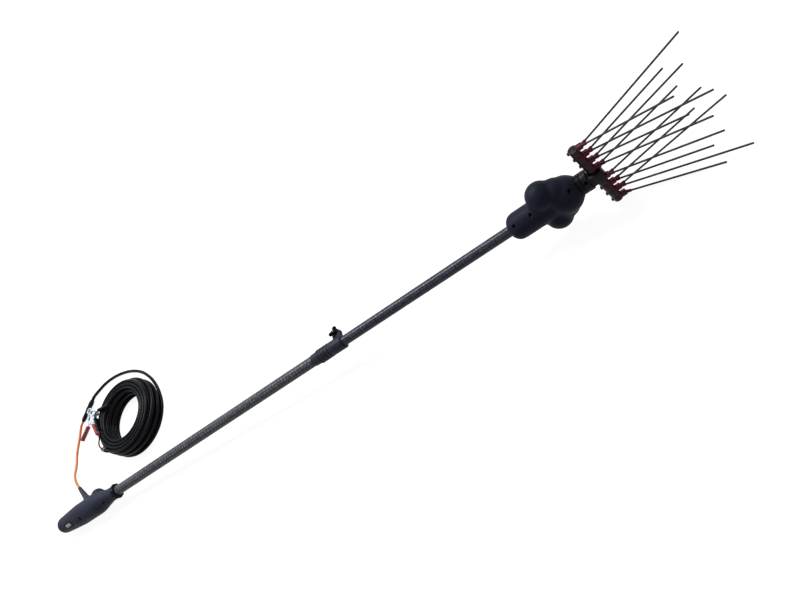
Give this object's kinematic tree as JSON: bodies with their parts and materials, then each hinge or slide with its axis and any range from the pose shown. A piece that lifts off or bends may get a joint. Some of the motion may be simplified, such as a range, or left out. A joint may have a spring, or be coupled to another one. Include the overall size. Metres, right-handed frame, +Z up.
{
  "type": "electric olive harvester",
  "caption": "Telescopic carbon pole with a motor head that swings a two-row rake of tines, a handle with a switch, and a coiled battery lead with clamps.",
  "frame": {"origin": "On the floor, below the middle of the box round the tool without its lead; the tool lies on its handle and on two tine tips", "axes": "+X along the floor from handle to rake, +Y to the side where the lead lies, +Z up"},
  "size_m": [2.5176, 0.5743, 0.2555],
  "materials": {
    "handle_plastic": "matte",
    "housing_plastic": "matte",
    "black_plastic": "satin",
    "rocker_plastic": "gloss",
    "rubber": "matte",
    "carbon": "gloss",
    "tine_carbon": "satin",
    "steel": "satin",
    "black_steel": "satin",
    "zinc": "bright",
    "alloy": "satin",
    "copper": "satin",
    "nylon": "satin",
    "board": "satin",
    "maroon": "satin",
    "crimson": "satin",
    "red_plastic": "gloss",
    "orange": "satin"
  },
  "bodies": {
    "pole": {"handle_top": "handle_plastic", "handle_bottom": "handle_plastic", "handle_screws": "steel", "handle_ring": "black_plastic", "switch_bezel": "black_plastic", "control_board": "board", "cable_boot": "rubber", "lower_tube": "carbon", "clamp_sleeve": "housing_plastic", "clamp_bolt": "steel", "spiral_lead": "rubber", "orange_lead": "orange", "lead_plug": "black_plastic", "cable_socket": "black_plastic", "cable_tail": "rubber", "cable_coil": "rubber", "cable_splitter": "black_plastic", "red_wire": "red_plastic", "black_wire": "rubber", "red_jaw_fixed": "zinc", "red_grip_fixed": "red_plastic", "black_jaw_fixed": "zinc", "black_grip_fixed": "black_plastic", "clamp_rivets": "zinc", "clamp_springs": "steel"},
    "switch": {"rocker_switch": "rocker_plastic"},
    "wing": {"wing_nut": "black_plastic"},
    "head": {"upper_tube": "carbon", "guide_bush": "nylon", "housing_top": "housing_plastic", "housing_bottom": "housing_plastic", "housing_screws": "steel", "nose_collar": "black_plastic", "gearbox_plate": "alloy", "motor_can": "steel", "stub_axles": "steel", "output_bearings": "steel", "bearing_carrier": "alloy"},
    "rotor": {"motor_rotor": "copper", "drive_pinion": "steel"},
    "gear_a": {"crank_gear_a": "nylon", "crank_pin_a": "steel"},
    "gear_b": {"crank_gear_b": "nylon", "crank_pin_b": "steel"},
    "rake": {"output_shaft": "steel", "yoke": "steel", "rake_hub": "black_plastic", "hub_bolts": "steel", "rake_bar": "maroon", "bar_knobs": "black_plastic", "tine_holders": "crimson", "holder_bolts": "black_steel", "tines_a": "tine_carbon", "tines_b": "tine_carbon"},
    "red_jaw": {"red_jaw_moving": "zinc", "red_grip_moving": "red_plastic"},
    "black_jaw": {"black_jaw_moving": "zinc", "black_grip_moving": "black_plastic"}
  },
  "joints": [
    {"name": "pole_slide", "type": "slide", "parent": "pole", "child": "head", "axis": [0.9994, 0, 0.0336], "range_m": [-0.55, 0.2], "deforming": ["spiral_lead"]},
    {"name": "rake_swing", "type": "hinge", "parent": "head", "child": "rake", "pos_m": [0.84699, -0.00335, 0.10373], "axis": [0.9994, 0, 0.0336], "range_deg": [-11, 11]},
    {"name": "gear_a_spin", "type": "hinge", "parent": "head", "child": "gear_a", "pos_m": [0.79384, 0.00339, 0.13733], "axis": [0.9994, 0, 0.0336], "range_deg": [-90.5, 90.5]},
    {"name": "gear_b_spin", "type": "hinge", "parent": "head", "child": "gear_b", "pos_m": [0.79621, -0.01009, 0.06664], "axis": [0.9994, 0, 0.0336], "range_deg": [-90.5, 90.5]},
    {"name": "rotor_spin", "type": "hinge", "parent": "head", "child": "rotor", "pos_m": [0.79502, -0.00335, 0.10198], "axis": [0.9994, 0, 0.0336], "range_deg": [-270.5, 270.5]},
    {"name": "wing_nut_turn", "type": "hinge", "parent": "pole", "child": "wing", "pos_m": [0.08011, 0.03265, 0.08747], "axis": [-0.0336, 0, 0.9994], "continuous": true},
    {"name": "switch_rock", "type": "hinge", "parent": "pole", "child": "switch", "pos_m": [-1.18261, -0.02811, 0.05785], "axis": [-0.025, 0.6691, 0.7427], "range_deg": [-16, 0]},
    {"name": "red_clamp_open", "type": "hinge", "parent": "pole", "child": "red_jaw", "pos_m": [-1.105, 0.335, 0], "axis": [0, 0, 1], "range_deg": [0, 30], "stiffness_Nm_per_rad": 1.2, "springref_deg": -34.38},
    {"name": "black_clamp_open", "type": "hinge", "parent": "pole", "child": "black_jaw", "pos_m": [-0.988, 0.298, 0.0695], "axis": [0, 0, -1], "range_deg": [0, 30], "stiffness_Nm_per_rad": 1.2, "springref_deg": -34.38}
  ],
  "couplings": [
    {"joint": "gear_a_spin", "follows": "rake_swing", "ratio": 8.1818},
    {"joint": "gear_b_spin", "follows": "rake_swing", "ratio": 8.1818},
    {"joint": "rotor_spin", "follows": "rake_swing", "ratio": -24.545}
  ]
}
